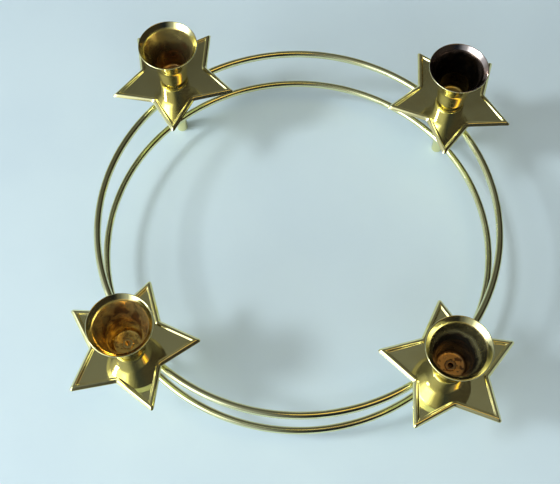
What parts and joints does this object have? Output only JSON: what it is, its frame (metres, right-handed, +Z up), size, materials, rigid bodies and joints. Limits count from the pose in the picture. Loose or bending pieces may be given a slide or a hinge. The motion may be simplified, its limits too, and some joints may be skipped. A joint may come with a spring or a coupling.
{
  "type": "advent candle holder",
  "caption": "Free-standing brass candle holder: stacked wire rings on posts, each post topped by a star-shaped drip plate and a flared candle cup.",
  "frame": {"origin": "centre of the two rings, on the table that the posts stand on", "axes": "+Z up; the picture was taken from the -Y side, with +X to the right"},
  "size_m": [0.2286, 0.23, 0.0853],
  "materials": {
    "brass_wire": "bright polished brass wire",
    "brass_rod": "bright polished brass rod",
    "brass_plate": "mirror-polished pressed brass sheet with fine scratches",
    "brass_bush": "turned brass",
    "brass_cup": "mirror-polished spun brass, tarnished amber inside",
    "brass_rivet": "heat-stained brass"
  },
  "bodies": {
    "root": {"lower_ring": "brass_wire", "upper_ring": "brass_wire", "front_left_post": "brass_rod", "front_left_star": "brass_plate", "front_left_spacer": "brass_bush", "front_left_cup": "brass_cup", "front_left_rivet": "brass_rivet", "front_right_post": "brass_rod", "front_right_star": "brass_plate", "front_right_spacer": "brass_bush", "front_right_cup": "brass_cup", "front_right_rivet": "brass_rivet", "back_right_post": "brass_rod", "back_right_star": "brass_plate", "back_right_spacer": "brass_bush", "back_right_cup": "brass_cup", "back_right_rivet": "brass_rivet", "back_left_post": "brass_rod", "back_left_star": "brass_plate", "back_left_spacer": "brass_bush", "back_left_cup": "brass_cup", "back_left_rivet": "brass_rivet"}
  },
  "joints": []
}
